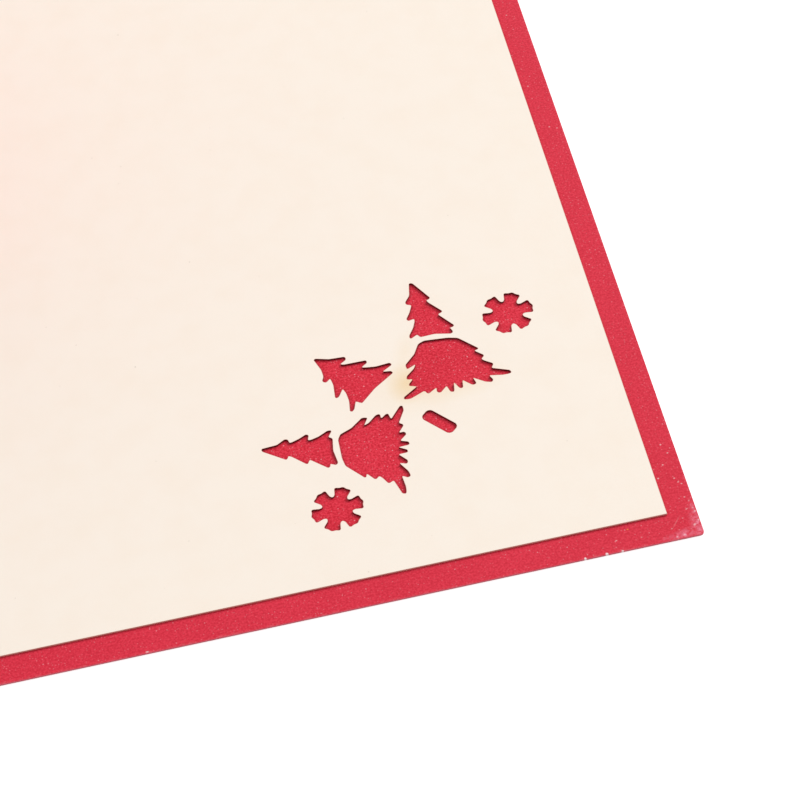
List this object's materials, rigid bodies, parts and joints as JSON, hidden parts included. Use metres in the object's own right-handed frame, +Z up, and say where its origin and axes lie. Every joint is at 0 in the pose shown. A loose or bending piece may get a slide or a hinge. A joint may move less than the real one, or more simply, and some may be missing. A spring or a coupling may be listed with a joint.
{
  "type": "pop up card",
  "caption": "Folded greetings card lying open flat, with a lining cut with firs and snowflakes and a slotted paper fir standing on the fold.",
  "frame": {"origin": "middle of the open card's underside, on the fold line, at the level that the card lies on", "axes": "+X across the open card from the fold to the page with the cut-out motif, +Y along the fold towards the card's back edge, +Z up, the way the paper fir stands"},
  "size_m": [0.3, 0.2, 0.1062],
  "materials": {
    "red_pearl_card": "satin, with a fine pearl sheen",
    "cream_card": "matt"
  },
  "bodies": {
    "root": {"cover": "red_pearl_card", "inner_sheet": "cream_card", "slotted_leaf_1": "red_pearl_card", "slotted_leaf_2": "red_pearl_card", "slotted_leaf_3": "red_pearl_card", "slotted_leaf_4": "red_pearl_card", "slotted_leaf_5": "red_pearl_card", "crossing_leaf_1": "red_pearl_card", "crossing_leaf_2": "red_pearl_card", "crossing_leaf_3": "red_pearl_card", "crossing_leaf_4": "red_pearl_card", "crossing_leaf_5": "red_pearl_card"}
  },
  "joints": []
}
